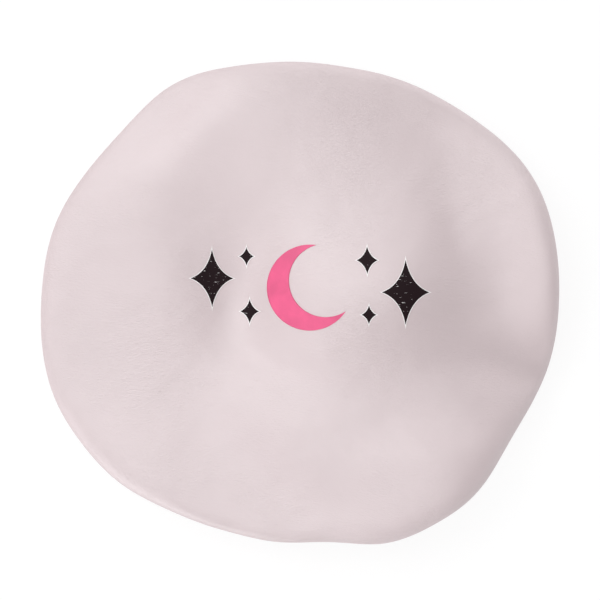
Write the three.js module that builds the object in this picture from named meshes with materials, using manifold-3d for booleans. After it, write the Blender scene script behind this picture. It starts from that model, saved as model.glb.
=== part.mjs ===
// A satin sleep cap lying on its opening: a wide gathered crown with a lining, both sewn into a ruffled
// casing that holds an elastic band, and a night-sky transfer print on top.
// Millimetres, +Z up, the origin on the table under the middle of the cap.
import * as THREE from "three";
import { mergeVertices } from "three/addons/utils/BufferGeometryUtils.js";
import Module from "manifold-3d";

const wasm = await Module();
wasm.setup();

// Crown as it lies
const CROWN_HEIGHT = 48; // table to the flat of the crown, apart from its folds
const RIM_HEIGHT = 38; // table to the widest line, apart from the folds
const DRAPE_HEIGHT = 2; // table to the lowest line of the rim
const RIM_TUCK = 34; // how far the rim curls in under the cap
const TOP_FLATNESS = 20; // higher numbers hold the top flat for longer
const SHOULDER_SQUARENESS = 2; // higher numbers drop to the rim more steeply
const OUTLINE = [
  // bearing in degrees from +X, reach in millimetres
  [0, 164.7], [20, 168.3], [35, 166.5], [60, 157.4], [80, 153.9], [100, 155.8], [119, 161.5],
  [135, 158.3], [160, 163.6], [180, 165.2], [200, 167.7], [222, 163.0], [240, 155.1], [262, 152.6],
  [279, 154.3], [290, 162.6], [310, 165.5], [330, 159.1], [345, 162.2],
];
const SOFT_FOLDS = [
  // middle, half width along and across, bearing of the long way in degrees, rise
  { x: -41, y: 13, along: 24, across: 40, bearing: 20, rise: -10 }, // hollow left of the middle
  { x: 35, y: -9, along: 41, across: 48, bearing: 85, rise: 14 }, // puff right of the middle
  { x: 71, y: 2, along: 24, across: 25, bearing: 0, rise: 7 }, // its shoulder
  { x: 136, y: -28, along: 75, across: 21, bearing: 110, rise: -7.5 }, // valley down the right side
  { x: 153, y: -43, along: 55, across: 12, bearing: -8, rise: -7.5 }, // its end at the rim
  { x: 94, y: 108, along: 51, across: 21, bearing: 157, rise: -8 }, // valley inside the upper right rim
  { x: -144, y: -8, along: 84, across: 33, bearing: 91, rise: -8 }, // sunk left side
  { x: -41, y: -54, along: 55, across: 40, bearing: 150, rise: -10.5 }, // hollow that runs down to the left
  { x: -5, y: -75, along: 37, across: 23, bearing: -27, rise: 7.5 }, // puff below the print
  { x: 95, y: -127, along: 59, across: 28, bearing: -16, rise: 11 }, // full lower right rim
  { x: 4, y: -165, along: 61, across: 18, bearing: 3, rise: 9 }, // full lower rim
  { x: -127, y: -145, along: 60, across: 26, bearing: 162, rise: 7 }, // full lower left rim
  { x: -44, y: 152, along: 90, across: 50, bearing: -18, rise: 10 }, // full upper rim
  { x: -88, y: 124, along: 41, across: 14, bearing: 44, rise: -6 }, // droop of the upper left rim
];

// Gathers of crown and lining under the cap
const PLEATS = 24;
const PLEAT_DEPTH = 8;
const GATHER_SAG = 2.5; // higher numbers leave the gathers lying on the table for longer
const NECK_RISE = 3; // how far the gathers stand up out of the casing

// Cloth and clearances
const SATIN = 0.5;
const LINING = 0.5;
const CASING_CLOTH = 0.5;
const LAYER_GAP = 0.35; // between neighbouring layers

// Elastic band in its casing
const MOUTH_RADIUS = 75; // inside the ruffled casing, relaxed
const ELASTIC_WIDTH = 15;
const ELASTIC_THICKNESS = 1;
const ELASTIC_LAP = 20; // overlap of the band's two ends
const ELASTIC_LAP_BEARING = 80; // degrees
const EDGE_MARGIN = 3; // folded edge to the elastic
const SEAM_ALLOWANCE = 4; // how deep the crown and lining reach into the casing
const RUFFLES = 30;
const RUFFLE_DEPTH = 2;
const END_SEAM_RUFFLE = 22; // the ruffle after which the strip's two ends meet

// Sewing thread
const THREAD_RADIUS = 0.3;
const JOIN_STROKES = 5; // strokes of the zigzag that joins the elastic's ends
const JOIN_SWING = 1.25; // how far a stroke swings to either side
const JOIN_MARGIN = 2; // zigzag to the edges of the elastic

// Transfer print
const FILM = 0.25;
const FILM_GAP = 0.3; // film to satin
const PRINT_X = 6;
const PRINT_Y = 10;
const MOON_RADIUS = 27;
const MOON_BITE_RADIUS = 23;
const MOON_BITE_SHIFT = 11;
const MOON_TILT = 24; // degrees
const STAR_WAIST = 0.17; // how far a star's hollow sides stay from its middle, as a share of its reach
const STARS = [
  // middle, from the middle of the print, and reach to the tips up and sideways
  { x: -62, y: 6, tall: 21, wide: 15 },
  { x: -38, y: -15, tall: 10, wide: 7.5 },
  { x: -40, y: 20, tall: 8, wide: 6 },
  { x: 60, y: -3, tall: 23, wide: 16.5 },
  { x: 36, y: 17, tall: 11, wide: 8 },
  { x: 37, y: -17, tall: 8, wide: 6 },
];

// How finely the round forms are stepped
const TOP_ROWS = 6;
const CURL_ROWS = 3;
const GATHER_ROWS = 2;
const THREAD_SIDES = 4;
const LAP_STEPS = 4;
const STROKE_STEPS = 6;
const ARC_STEPS = 14;

// Sizes that follow from those above
const crownColumns = 2 * PLEATS;
const casingColumns = 2 * RUFFLES;
const channelWidth = 2 * ELASTIC_THICKNESS + 2 * THREAD_RADIUS + 4 * LAYER_GAP;
const mouthFace = MOUTH_RADIUS + RUFFLE_DEPTH;
const channelInner = mouthFace + CASING_CLOTH;
const channelOuter = channelInner + channelWidth;
const casingOuter = channelOuter + CASING_CLOTH;
const seamRadius = channelOuter - LAYER_GAP;
const pinchInner = seamRadius - SATIN - LINING - 2 * LAYER_GAP;
const elasticTop = EDGE_MARGIN + ELASTIC_WIDTH;
const seamBottom = elasticTop + LAYER_GAP;
const bandTop = seamBottom + SEAM_ALLOWANCE;
const upperStitch = seamBottom + SEAM_ALLOWANCE / 2;
const lowerStitch = EDGE_MARGIN / 2;
const liningDepth = SATIN + LAYER_GAP;

const radians = THREE.MathUtils.degToRad;

function onCylinder(radius, bearing, height) {
  return new THREE.Vector3(radius * Math.cos(bearing), radius * Math.sin(bearing), height);
}

// A geometry from corner points and triangles that share them
function meshFrom(points, triangles) {
  const geometry = new THREE.BufferGeometry();
  const numbers = points.flatMap((point) => point.toArray());
  geometry.setAttribute("position", new THREE.Float32BufferAttribute(numbers, 3));
  geometry.setIndex(triangles);
  return geometry;
}

// A skin over a row of sections with equal numbers of points, closed to a ring or capped at its ends
function skin(sections, ring) {
  const size = sections[0].length;
  const count = sections.length;
  const triangles = [];
  for (let s = 0; s < (ring ? count : count - 1); s += 1) {
    const next = (s + 1) % count;
    for (let i = 0; i < size; i += 1) {
      const j = (i + 1) % size;
      const [a, b, c, d] = [s * size + i, next * size + i, next * size + j, s * size + j];
      triangles.push(a, b, c, a, c, d);
    }
  }
  for (let i = 1; !ring && i < size - 1; i += 1) {
    const last = (count - 1) * size;
    triangles.push(0, i, i + 1, last, last + i + 1, last + i);
  }
  return meshFrom(sections.flat(), triangles);
}

// Outline of the lying cap, in even steps, with its box centred on the origin
function outlineSteps() {
  const corners = OUTLINE.map(([bearing, reach]) => onCylinder(reach, radians(bearing), 0));
  const curve = new THREE.CatmullRomCurve3(corners, true);
  const steps = curve.getSpacedPoints(crownColumns).slice(0, crownColumns);
  const middle = new THREE.Box3().setFromPoints(steps).getCenter(new THREE.Vector3());
  return steps.map((point) => point.sub(middle));
}

// Height of the soft folds at a place on the crown
function relief(x, y) {
  let rise = 0;
  for (const fold of SOFT_FOLDS) {
    const middle = new THREE.Vector2(fold.x, fold.y);
    const away = new THREE.Vector2(x, y).rotateAround(middle, -radians(fold.bearing)).sub(middle);
    rise += fold.rise * Math.exp(-((away.x / fold.along) ** 2 + (away.y / fold.across) ** 2) / 2);
  }
  return rise;
}

// Outer face of the crown along one bearing as distance from the axis and height: over the top to the rim,
// curled under it, gathered up to the neck and down into the casing
function meridian(edge, column) {
  const reach = Math.hypot(edge.x, edge.y);
  const rimHeight = RIM_HEIGHT + relief(edge.x, edge.y);
  const line = [new THREE.Vector2(0, CROWN_HEIGHT + relief(0, 0))];
  for (let row = 1; row <= TOP_ROWS; row += 1) {
    const share = Math.sin((row / TOP_ROWS) * (Math.PI / 2));
    const fall = (1 - share ** TOP_FLATNESS) ** (1 / SHOULDER_SQUARENESS);
    const puff = relief(edge.x * share, edge.y * share);
    line.push(new THREE.Vector2(reach * share, RIM_HEIGHT + (CROWN_HEIGHT - RIM_HEIGHT) * fall + puff));
  }
  for (let row = 1; row <= CURL_ROWS; row += 1) {
    const turn = (row / CURL_ROWS) * (Math.PI / 2);
    const drop = (rimHeight - DRAPE_HEIGHT) * Math.sin(turn);
    line.push(new THREE.Vector2(reach - RIM_TUCK * (1 - Math.cos(turn)), rimHeight - drop));
  }
  const drape = line.at(-1);
  const neck = new THREE.Vector2(seamRadius, bandTop + NECK_RISE);
  for (let row = 1; row <= GATHER_ROWS; row += 1) {
    const share = row / (GATHER_ROWS + 1);
    const lift = column % 2 ? PLEAT_DEPTH * Math.sin(share * Math.PI) : 0;
    const height = drape.y + (neck.y - drape.y) * share ** GATHER_SAG;
    line.push(drape.clone().lerp(neck, share).setY(height + lift));
  }
  line.push(neck, new THREE.Vector2(seamRadius, seamBottom));
  return line;
}

// The same line moved into the cap by a distance, square to each of its runs
function movedIn(line, distance) {
  const normals = line.slice(1).map((point, i) => {
    const run = point.clone().sub(line[i]).normalize();
    return new THREE.Vector2(run.y, -run.x);
  });
  return line.map((point, i) => {
    const before = normals[Math.max(i - 1, 0)];
    const after = normals[Math.min(i, normals.length - 1)];
    const mitre = before.clone().add(after).normalize();
    return point.clone().addScaledVector(mitre, distance / mitre.dot(after));
  });
}

// One layer of the crown between two depths under its outer face, down to a given row
function crownLayer(outerDepth, innerDepth, rows) {
  const points = [];
  const triangles = [];
  const face = (depth) => {
    const first = points.length;
    points.push(new THREE.Vector3(0, 0, CROWN_HEIGHT + relief(0, 0) - depth));
    outlineSteps().forEach((edge, column) => {
      const line = movedIn(meridian(edge, column), depth).slice(1, rows + 1);
      const bearing = Math.atan2(edge.y, edge.x);
      points.push(...line.map((point) => onCylinder(point.x, bearing, point.y)));
    });
    return (column, row) => (row === 0 ? first : first + 1 + (column % crownColumns) * rows + row - 1);
  };
  const outer = face(outerDepth);
  const inner = face(innerDepth);
  const quad = (a, b, c, d) => triangles.push(a, b, c, a, c, d);
  for (let column = 0; column < crownColumns; column += 1) {
    const next = column + 1;
    // Diagonals that run up to the crest of each pleat from both sides
    const [low, high] = column % 2 ? [next, column] : [column, next];
    const turned = low > high;
    triangles.push(outer(0, 0), outer(column, 1), outer(next, 1));
    triangles.push(inner(0, 0), inner(next, 1), inner(column, 1));
    for (let row = 1; row < rows; row += 1) {
      const [a, b, c, d] = [[low, row], [low, row + 1], [high, row + 1], [high, row]];
      const [front, back] = turned ? [inner, outer] : [outer, inner];
      quad(front(...a), front(...b), front(...c), front(...d));
      quad(back(...a), back(...d), back(...c), back(...b));
    }
    quad(outer(next, rows), outer(column, rows), inner(column, rows), inner(next, rows));
  }
  return meshFrom(points, triangles);
}

// Folded strip round the opening, open at the top where it takes in the crown and lining
function casing() {
  const middle = (lowerStitch + upperStitch) / 2;
  const sections = [];
  for (let column = 0; column < casingColumns; column += 1) {
    const bearing = (column / casingColumns) * 2 * Math.PI;
    const puff = column % 2 ? RUFFLE_DEPTH : 0;
    const outerWall = [
      [casingOuter, 0], [casingOuter, lowerStitch], [casingOuter + puff, middle], [casingOuter, upperStitch],
      [casingOuter, bandTop], [channelOuter, bandTop], [channelOuter, upperStitch],
      [channelOuter + puff, middle], [channelOuter, CASING_CLOTH],
    ];
    const innerWall = [
      [channelInner, CASING_CLOTH], [channelInner - puff, middle], [channelInner, seamBottom],
      [pinchInner, upperStitch], [pinchInner, bandTop], [pinchInner - CASING_CLOTH, bandTop],
      [pinchInner - CASING_CLOTH, upperStitch], [mouthFace, seamBottom], [mouthFace - puff, middle],
      [mouthFace, lowerStitch], [mouthFace, 0],
    ];
    const section = [...outerWall, ...innerWall];
    sections.push(section.map(([radius, height]) => onCylinder(radius, bearing, height)));
  }
  return skin(sections, true);
}

// Radius of the elastic's inner face: it spirals out by one layer so that its ends lap
const elasticInner = channelInner + LAYER_GAP;
const elasticStep = ELASTIC_THICKNESS + LAYER_GAP;
const lapAngle = ELASTIC_LAP / elasticInner;
const lapStart = radians(ELASTIC_LAP_BEARING) - lapAngle / 2;

function elastic() {
  const turns = [];
  for (let step = 0; step < LAP_STEPS; step += 1) {
    turns.push((step / LAP_STEPS) * lapAngle);
  }
  for (let step = 0; step <= casingColumns; step += 1) {
    turns.push(lapAngle + (step / casingColumns) * (2 * Math.PI - lapAngle));
  }
  for (let step = 1; step <= LAP_STEPS; step += 1) {
    turns.push(2 * Math.PI + (step / LAP_STEPS) * lapAngle);
  }
  const sections = turns.map((turn) => {
    const climb = THREE.MathUtils.clamp((turn - lapAngle) / (2 * Math.PI - lapAngle), 0, 1);
    const inner = elasticInner + elasticStep * climb;
    const outer = inner + ELASTIC_THICKNESS;
    const corners = [[outer, EDGE_MARGIN], [outer, elasticTop], [inner, elasticTop], [inner, EDGE_MARGIN]];
    return corners.map(([radius, height]) => onCylinder(radius, lapStart + turn, height));
  });
  return skin(sections, false);
}

// A thread of round section along a curve
function thread(curve, steps) {
  const section = new THREE.Shape().absarc(0, 0, THREAD_RADIUS, 0, 2 * Math.PI);
  return new THREE.ExtrudeGeometry(section, { extrudePath: curve, steps, curveSegments: THREAD_SIDES });
}

// A row of stitching all round the band
function stitchRow(radius, height) {
  const ring = new THREE.TorusGeometry(radius, THREAD_RADIUS, THREAD_SIDES, casingColumns);
  return ring.translate(0, 0, height);
}

// Zigzag stitches that climb up the middle of the elastic's lap
class ZigzagStitch extends THREE.Curve {
  getPoint(share, target = new THREE.Vector3()) {
    const swing = JOIN_SWING * Math.cos(share * JOIN_STROKES * Math.PI);
    const bearing = lapStart + lapAngle / 2 + swing / elasticInner;
    const radius = elasticInner + elasticStep + ELASTIC_THICKNESS + LAYER_GAP + THREAD_RADIUS;
    const height = EDGE_MARGIN + JOIN_MARGIN + share * (ELASTIC_WIDTH - 2 * JOIN_MARGIN);
    return target.copy(onCylinder(radius, bearing, height));
  }
}

// Seam of the casing strip's two ends, in a hollow between two ruffles
function casingEndSeam() {
  const radius = casingOuter + LAYER_GAP + THREAD_RADIUS;
  const bearing = (END_SEAM_RUFFLE / RUFFLES) * 2 * Math.PI;
  const clear = 2 * THREAD_RADIUS + LAYER_GAP;
  const low = onCylinder(radius, bearing, lowerStitch + clear);
  const high = onCylinder(radius, bearing, upperStitch - clear);
  return thread(new THREE.LineCurve3(low, high), 1);
}

function solidFrom(geometry) {
  const bare = geometry.clone();
  bare.deleteAttribute("normal");
  bare.deleteAttribute("uv");
  const merged = mergeVertices(bare);
  const vertProperties = new Float32Array(merged.attributes.position.array);
  const triVerts = new Uint32Array(merged.index.array);
  return new wasm.Manifold(new wasm.Mesh({ numProp: 3, vertProperties, triVerts }));
}

// A film cut to a flat shape and laid on the crown, following its surface
const filmLayer = solidFrom(crownLayer(-FILM_GAP - FILM, -FILM_GAP, TOP_ROWS - 1));

function film(shape, x, y) {
  const through = { depth: CROWN_HEIGHT, bevelEnabled: false, curveSegments: ARC_STEPS };
  const cutter = new THREE.ExtrudeGeometry(shape, through);
  cutter.translate(PRINT_X + x, PRINT_Y + y, CROWN_HEIGHT / 2);
  const cut = filmLayer.intersect(solidFrom(cutter)).getMesh();
  const geometry = new THREE.BufferGeometry();
  geometry.setAttribute("position", new THREE.BufferAttribute(cut.vertProperties, cut.numProp));
  geometry.setIndex(new THREE.BufferAttribute(cut.triVerts, 1));
  return geometry;
}

// A crescent: a disc with a round bite out of one side
function moonShape() {
  const crossing = (MOON_RADIUS ** 2 - MOON_BITE_RADIUS ** 2 + MOON_BITE_SHIFT ** 2) / (2 * MOON_BITE_SHIFT);
  const height = Math.sqrt(MOON_RADIUS ** 2 - crossing ** 2);
  const tip = Math.atan2(height, crossing);
  const biteTip = Math.atan2(height, crossing - MOON_BITE_SHIFT);
  const tilt = radians(MOON_TILT);
  const shape = new THREE.Shape();
  shape.absarc(0, 0, MOON_RADIUS, tilt + tip, tilt - tip + 2 * Math.PI, false);
  const [biteX, biteY] = [MOON_BITE_SHIFT * Math.cos(tilt), MOON_BITE_SHIFT * Math.sin(tilt)];
  shape.absarc(biteX, biteY, MOON_BITE_RADIUS, tilt - biteTip, tilt + biteTip - 2 * Math.PI, true);
  return shape;
}

// A four-pointed star with hollow sides
function starShape({ tall, wide }) {
  const shape = new THREE.Shape();
  const tips = [[wide, 0], [0, tall], [-wide, 0], [0, -tall]];
  shape.moveTo(...tips[0]);
  tips.forEach(([fromX, fromY], i) => {
    const [toX, toY] = tips[(i + 1) % tips.length];
    shape.quadraticCurveTo((fromX + toX) * STAR_WAIST, (fromY + toY) * STAR_WAIST, toX, toY);
  });
  return shape;
}

// Finishes
const satin = { color: 0xe4d8da, roughness: 0.42, metalness: 0 };
const liningSatin = { color: 0xe9dfe1, roughness: 0.5, metalness: 0 };
const elasticWeave = { color: 0xf2efee, roughness: 0.9, metalness: 0 };
const threadYarn = { color: 0xdccbce, roughness: 0.7, metalness: 0 };
const pinkFilm = { color: 0xf26a98, roughness: 0.55, metalness: 0 };
const blackFilm = { color: 0x241f21, roughness: 0.6, metalness: 0 };

const cap = new THREE.Group();

function place(name, geometry, finish) {
  const mesh = new THREE.Mesh(geometry, new THREE.MeshStandardMaterial(finish));
  mesh.name = name;
  cap.add(mesh);
}

const allRows = TOP_ROWS + CURL_ROWS + GATHER_ROWS + 2;
const threadStandOff = LAYER_GAP + THREAD_RADIUS;
place("outer_crown", crownLayer(0, SATIN, allRows), satin);
place("crown_lining", crownLayer(liningDepth, liningDepth + LINING, allRows), liningSatin);
place("band_casing", casing(), satin);
place("elastic_band", elastic(), elasticWeave);
place("elastic_join_thread", thread(new ZigzagStitch(), JOIN_STROKES * STROKE_STEPS), threadYarn);
place("casing_end_seam_thread", casingEndSeam(), threadYarn);
place("upper_needle_thread", stitchRow(casingOuter + threadStandOff, upperStitch), threadYarn);
place("upper_bobbin_thread", stitchRow(pinchInner - CASING_CLOTH - threadStandOff, upperStitch), threadYarn);
place("lower_needle_thread", stitchRow(casingOuter + threadStandOff, lowerStitch), threadYarn);
place("lower_bobbin_thread", stitchRow(mouthFace - threadStandOff, lowerStitch), threadYarn);
place("print_moon", film(moonShape(), 0, 0), pinkFilm);
STARS.forEach((star, i) => place(`print_star_${i + 1}`, film(starShape(star), star.x, star.y), blackFilm));

export default cap;
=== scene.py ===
"""A satin sleep cap lying crown up: gathered crown and lining, ruffled band, stitching and a print."""

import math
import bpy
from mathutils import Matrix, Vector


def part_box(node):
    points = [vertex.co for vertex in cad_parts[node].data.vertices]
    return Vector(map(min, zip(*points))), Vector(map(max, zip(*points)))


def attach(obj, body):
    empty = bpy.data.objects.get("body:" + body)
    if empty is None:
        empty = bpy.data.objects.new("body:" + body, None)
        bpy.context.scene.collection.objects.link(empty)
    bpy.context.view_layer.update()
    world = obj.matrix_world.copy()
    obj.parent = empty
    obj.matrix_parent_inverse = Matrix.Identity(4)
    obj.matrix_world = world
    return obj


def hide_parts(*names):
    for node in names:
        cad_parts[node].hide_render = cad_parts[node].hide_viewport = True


bl_info = {
    "name": "Satin Sleep Cap",
    "version": (1, 0, 0),
    "blender": (4, 5, 0),
    "location": "3D View > Sidebar > Sleep Cap",
    "description": "Builds a gathered satin sleep cap round its construction model",
    "category": "Add Mesh",
}

import bpy
import numpy as np
from bpy.props import FloatProperty, FloatVectorProperty, IntProperty, PointerProperty
from mathutils import Vector, noise
from mathutils.bvhtree import BVHTree

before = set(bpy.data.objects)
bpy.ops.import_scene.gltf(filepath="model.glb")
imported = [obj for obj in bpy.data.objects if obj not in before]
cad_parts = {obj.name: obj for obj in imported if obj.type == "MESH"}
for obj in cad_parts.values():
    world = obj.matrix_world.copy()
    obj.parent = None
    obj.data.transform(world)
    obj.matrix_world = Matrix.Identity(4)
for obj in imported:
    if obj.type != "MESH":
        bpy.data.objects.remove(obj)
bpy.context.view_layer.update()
BODY = "root"
MM = 0.001
WELD = 0.01 * MM  # points of a sheet that are closer than this become one
STITCH_WELD = 0.001 * MM


def ring_of(node):
    """Outer radius and middle height of a round node of the construction model."""
    low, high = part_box(node)
    return (high.x - low.x) / 2, (low.z + high.z) / 2


# Places that the construction model fixes
BAND_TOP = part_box("band_casing")[1].z
NEEDLE_RADIUS, UPPER_STITCH = ring_of("upper_needle_thread")
PINCH_RADIUS = ring_of("upper_bobbin_thread")[0]
MOUTH_RADIUS, LOWER_STITCH = ring_of("lower_bobbin_thread")
ELASTIC_LOW, ELASTIC_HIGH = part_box("elastic_band")
SEAM_LOW, SEAM_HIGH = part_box("casing_end_seam_thread")
SEAM_BEARING = math.atan2(SEAM_LOW.y + SEAM_HIGH.y, SEAM_LOW.x + SEAM_HIGH.x)

# Soft folds of the crown in millimetres: place, half width along and across, bearing of the long way, rise
SOFT_FOLDS = (
    (-41, 13, 24, 40, 20, -10),  # hollow left of the middle
    (35, -9, 41, 48, 85, 14),  # puff right of the middle
    (71, 2, 24, 25, 0, 7),  # its shoulder
    (136, -28, 75, 21, 110, -7.5),  # valley down the right side
    (153, -43, 55, 12, -8, -7.5),  # its end at the rim
    (94, 108, 51, 21, 157, -8),  # valley inside the upper right rim
    (-144, -8, 84, 33, 91, -8),  # sunk left side
    (-41, -54, 55, 40, 150, -10.5),  # hollow that runs down to the left
    (-5, -75, 37, 23, -27, 7.5),  # puff below the print
    (95, -127, 59, 28, -16, 11),  # full lower right rim
    (4, -165, 61, 18, 3, 9),  # full lower rim
    (-127, -145, 60, 26, 162, 7),  # full lower left rim
    (-44, 152, 90, 50, -18, 10),  # full upper rim
    (-88, 124, 41, 14, 44, -6),  # droop of the upper left rim
)

# Smaller creases of the same kind, which only the cloth has
SMALL_FOLDS = (
    (85, -9, 34, 22, 30, -3.5),  # hollow right of the print
    (97, 34, 32, 9, 97, -2),  # crease that runs up from it
    (99, -15, 20, 11, 155, -2),  # crease that runs down from it
    (30, 8, 38, 20, 27, 3.5),  # swell under the print
    (-36, 8, 34, 13, 70, -3.5),  # crease left of the middle
    (-16, -38, 25, 7, 157, -0.7),  # crease below the print
    (148, -64, 50, 18, 110, -3.5),  # valley inside the lower right rim
    (-80, 86, 36, 15, 53, 1),  # ridge inside the upper left rim
    (-10, -86, 55, 15, 132, 2),  # ridge on the puff below the print
    (84, -94, 23, 10, 4, 2.5),  # ridge above the lower right rim
    (-80, 124, 30, 10, 40, -2.5),  # droop at the upper left rim
    (-118, -113, 38, 9, -43, -2),  # droop at the lower left rim
    (152, 62, 40, 11, 113, 1.5),  # full right rim
    (156, -40, 28, 10, 74, -3.5),  # droop at the right rim
    (121, -112, 22, 10, 48, -3),  # droop at the lower right rim
)

# Stars of the print in millimetres from its middle: place, reach up and down, reach sideways
STARS = (
    (-62, 6, 21, 15),
    (-38, -15, 10, 7.5),
    (-40, 20, 8, 6),
    (60, -3, 23, 16.5),
    (36, 17, 11, 8),
    (37, -17, 8, 6),
)


def length(name, description, millimetres):
    return FloatProperty(name=name, description=description, default=millimetres * MM, unit="LENGTH")


def angle(name, description, degrees):
    turn = math.radians(degrees)
    return FloatProperty(name=name, description=description, default=turn, subtype="ANGLE")


def power(name, description, watts):
    return FloatProperty(name=name, description=description, default=watts, unit="POWER")


def amount(name, description, default):
    return FloatProperty(name=name, description=description, default=default)


def count(name, description, default):
    return IntProperty(name=name, description=description, default=default)


def tint(name, description, default):
    return FloatVectorProperty(name=name, description=description, default=default, subtype="COLOR")


class CapCloth(bpy.types.PropertyGroup):
    """Cut and fall of the crown and its lining."""

    cut_radius: length("Cut radius", "Radius of the flat round of satin", 280)
    divisions: count("Divisions", "Cells across the simulated cloth", 108)
    rings: count("Rings", "Rings of the finished crown", 108)
    spokes: count("Spokes", "Points round each ring", 400)
    top_waves: amount("Top waves", "Slow waves kept round the top and its rim", 7.0)
    gathers: amount("Gathers", "Finest waves kept round the neck", 160.0)
    frames: count("Frames", "Steps of the gathering simulation", 80)
    satin: length("Satin", "Thickness of the satin", 0.4)
    lining_gap: length("Lining gap", "Crown to lining", 0.9)
    seam: length("Seam", "How far the edge runs down into the casing", 4)
    rim_height: length("Rim height", "Table to the widest line", 38)
    top_rise: length("Top rise", "Widest line to the flat of the top", 10)
    top_flatness: amount("Top flatness", "Higher holds the top flat for longer", 22.0)
    tight_side: amount("Tight side", "How much tighter the right rim is than the left one", 0.3)
    shoulder: amount("Shoulder", "Higher drops to the rim more steeply", 2.0)
    fold_depth: amount("Fold depth", "Share of the soft folds' full depth", 1.0)
    rim_lean: amount("Rim lean", "How far the rim draws in for each millimetre that a fold lifts it", 0.15)
    crinkle: length("Crinkle", "Height of the faint unevenness all over", 0.25)


class CapBand(bpy.types.PropertyGroup):
    """Ruffled casing, elastic and stitching."""

    casing: length("Casing cloth", "Thickness of the casing's satin", 0.4)
    ruffles: count("Ruffles", "Ruffles round the band", 88)
    ruffle_depth: length("Ruffle depth", "How far a ruffle stands out", 2.0)
    elastic: length("Elastic", "Thickness of the elastic", 1.0)
    lap: length("Lap", "Overlap of the elastic's two ends", 20)
    lap_bearing: angle("Lap bearing", "Where the ends lap", 80)
    stitch: length("Stitch", "Length of one stitch", 2.6)
    stitch_pitch: length("Stitch pitch", "Stitch to stitch", 3.1)
    thread: length("Thread", "Radius of the sewing thread", 0.3)


class CapPrint(bpy.types.PropertyGroup):
    """Crescent and stars of transfer film."""

    place_x: length("Right", "Middle of the print to the right of the cap's middle", 6)
    place_y: length("Up", "Middle of the print above the cap's middle", 10)
    moon: length("Moon", "Radius of the crescent", 27)
    bite: length("Bite", "Radius of the round bite out of it", 23)
    bite_shift: length("Bite shift", "Middle of the bite from the middle of the disc", 11)
    tilt: angle("Tilt", "Turn of the crescent", 24)
    star_waist: amount("Star waist", "How far a star's hollow sides stay from its middle", 0.17)
    film: length("Film", "Thickness of the film", 0.18)
    keyline: length("Keyline", "Width of the pale edge round the black film", 0.45)


class CapFinish(bpy.types.PropertyGroup):
    """Colours of the cloth, thread and print."""

    satin: tint("Satin", "Blush satin", (0.566, 0.45, 0.466))
    lining: tint("Lining", "Dull face of the satin", (0.60, 0.50, 0.515))
    thread: tint("Thread", "Sewing thread", (0.72, 0.58, 0.60))
    elastic: tint("Elastic", "Woven elastic", (0.86, 0.84, 0.83))
    pink: tint("Pink film", "Pink print film", (0.762, 0.11, 0.248))
    black: tint("Black film", "Black print film", (0.012, 0.004, 0.006))
    keyline: tint("Keyline", "Pale edge of the black film", (0.85, 0.82, 0.82))
    satin_roughness: amount("Satin roughness", "Roughness of the bright face of the satin", 0.56)
    lining_roughness: amount("Lining roughness", "Roughness of its dull face", 0.55)


class CapStage(bpy.types.PropertyGroup):
    """Camera, light and floor."""

    lens: amount("Lens", "Focal length in millimetres", 120.0)
    view_width: length("View width", "Width of the picture at the rim", 382.2)
    view_shift: length("View shift", "Middle of the picture above the cap's middle", 2.2)
    key: power("Key light", "Power of the large soft lamp", 38.2)
    key_size: length("Key size", "Width of the large soft lamp and of the low one", 2200)
    key_distance: length("Key distance", "Either of these lamps to the cap", 4000)
    key_bearing: angle("Key bearing", "Where the large lamp stands, from the right", 150)
    key_height: angle("Key height", "How high the large lamp stands", 55)
    low: power("Low light", "Power of the lamp low down", 52.0)
    low_bearing: angle("Low bearing", "Where the low lamp stands, from the right", 230)
    low_height: angle("Low height", "How high the low lamp stands", 20)
    overhead: power("Overhead light", "Power of the lamp straight above", 19.6)
    overhead_size: length("Overhead size", "Width of the lamp straight above", 2200)
    overhead_height: length("Overhead height", "Table to the lamp straight above", 3000)
    fill: amount("Fill", "Strength of the light from the ceiling", 0.24)
    walls: amount("Walls", "Strength of the light from low down all round", 0.74)
    back_wall: amount("Back wall", "Strength of the light from behind the cap", 1.06)
    front_wall: amount("Front wall", "Strength of the light from before the cap", 0.35)
    wall_top: amount("Wall top", "Upward share of a direction at which the walls have faded out", 0.6)
    floor: amount("Floor tone", "Paleness of the floor", 0.9)
    glow: amount("Floor glow", "Strength of the white that is seen on the floor", 1.04)
    glow_share: amount("Glow share", "How much of the floor's look is that white", 0.8)


def deselect():
    """Nothing selected and nothing in edit mode, ready for a new primitive."""
    if bpy.context.object and bpy.context.object.mode != "OBJECT":
        bpy.ops.object.mode_set(mode="OBJECT")
    bpy.ops.object.select_all(action="DESELECT")


def active_only(piece):
    deselect()
    piece.select_set(True)
    bpy.context.view_layer.objects.active = piece


def points_of(piece):
    """A mesh's vertices as rows of x, y and z."""
    co = np.zeros(len(piece.data.vertices) * 3)
    piece.data.vertices.foreach_get("co", co)
    return co.reshape(-1, 3)


def set_points(piece, points):
    piece.data.vertices.foreach_set("co", np.asarray(points, np.float32).ravel())
    piece.data.update()


def grid(name, columns, rows):
    """A flat grid whose points run from 0 to 1 both ways, as a new piece."""
    deselect()
    bpy.ops.mesh.primitive_grid_add(x_subdivisions=columns, y_subdivisions=rows, size=1, location=(0, 0, 0))
    piece = bpy.context.object
    piece.name = name
    piece.data.name = name
    return piece, points_of(piece)[:, :2] + 0.5


def apply(piece, kind, **settings):
    """Adds a modifier with these settings and applies it."""
    modifier = piece.modifiers.new(kind.title(), kind)
    for key, value in settings.items():
        setattr(modifier, key, value)
    active_only(piece)
    bpy.ops.object.modifier_apply(modifier=modifier.name)


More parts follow.
